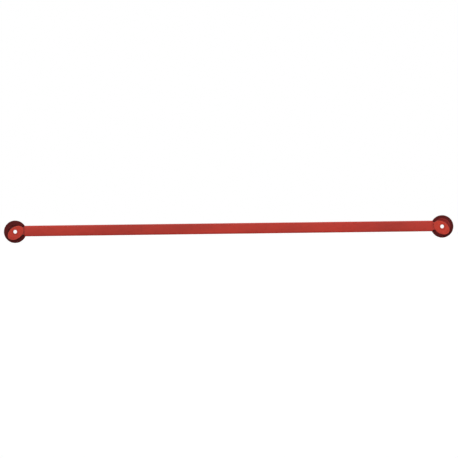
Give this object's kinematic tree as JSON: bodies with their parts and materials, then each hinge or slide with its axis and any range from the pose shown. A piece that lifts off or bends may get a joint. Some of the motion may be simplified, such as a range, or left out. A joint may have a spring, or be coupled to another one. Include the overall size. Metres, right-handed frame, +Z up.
{
  "type": "spreader beam",
  "caption": "Square-tube spreader beam with a grooved sheave between oval cheek plates at each end, turning on a hollow pin that also takes a load pin.",
  "frame": {"origin": "midway between the two sheave pins, on the line that joins their axes, at mid width", "axes": "+X along the beam to the right end, -Y towards the front, +Z up when the beam hangs"},
  "size_m": [3.158, 0.083, 0.158],
  "materials": {
    "beam_red": "signal red enamel",
    "cheek_red": "signal red enamel on flame-cut plate",
    "sheave_maroon": "dark maroon paint on a casting",
    "pin_steel": "red enamel, bare steel in the bore",
    "ring_steel": "phosphated spring steel",
    "bush_bronze": "self-lubricating bronze"
  },
  "bodies": {
    "beam": {"main_tube": "beam_red", "left_diaphragm": "beam_red", "left_weld_beads": "beam_red", "left_front_strap": "beam_red", "left_rear_strap": "beam_red", "left_front_cheek": "cheek_red", "left_rear_cheek": "cheek_red", "left_hollow_pin": "pin_steel", "left_front_thrust_washer": "bush_bronze", "left_rear_thrust_washer": "bush_bronze", "left_front_circlip": "ring_steel", "left_rear_circlip": "ring_steel", "right_diaphragm": "beam_red", "right_weld_beads": "beam_red", "right_front_strap": "beam_red", "right_rear_strap": "beam_red", "right_front_cheek": "cheek_red", "right_rear_cheek": "cheek_red", "right_hollow_pin": "pin_steel", "right_front_thrust_washer": "bush_bronze", "right_rear_thrust_washer": "bush_bronze", "right_front_circlip": "ring_steel", "right_rear_circlip": "ring_steel"},
    "left_sheave_body": {"left_sheave": "sheave_maroon", "left_sheave_bush": "bush_bronze"},
    "right_sheave_body": {"right_sheave": "sheave_maroon", "right_sheave_bush": "bush_bronze"}
  },
  "joints": [
    {"name": "left_sheave_spin", "type": "hinge", "parent": "beam", "child": "left_sheave_body", "pos_m": [-1.5, 0, 0], "axis": [0, 1, 0], "continuous": true},
    {"name": "right_sheave_spin", "type": "hinge", "parent": "beam", "child": "right_sheave_body", "pos_m": [1.5, 0, 0], "axis": [0, 1, 0], "continuous": true}
  ]
}
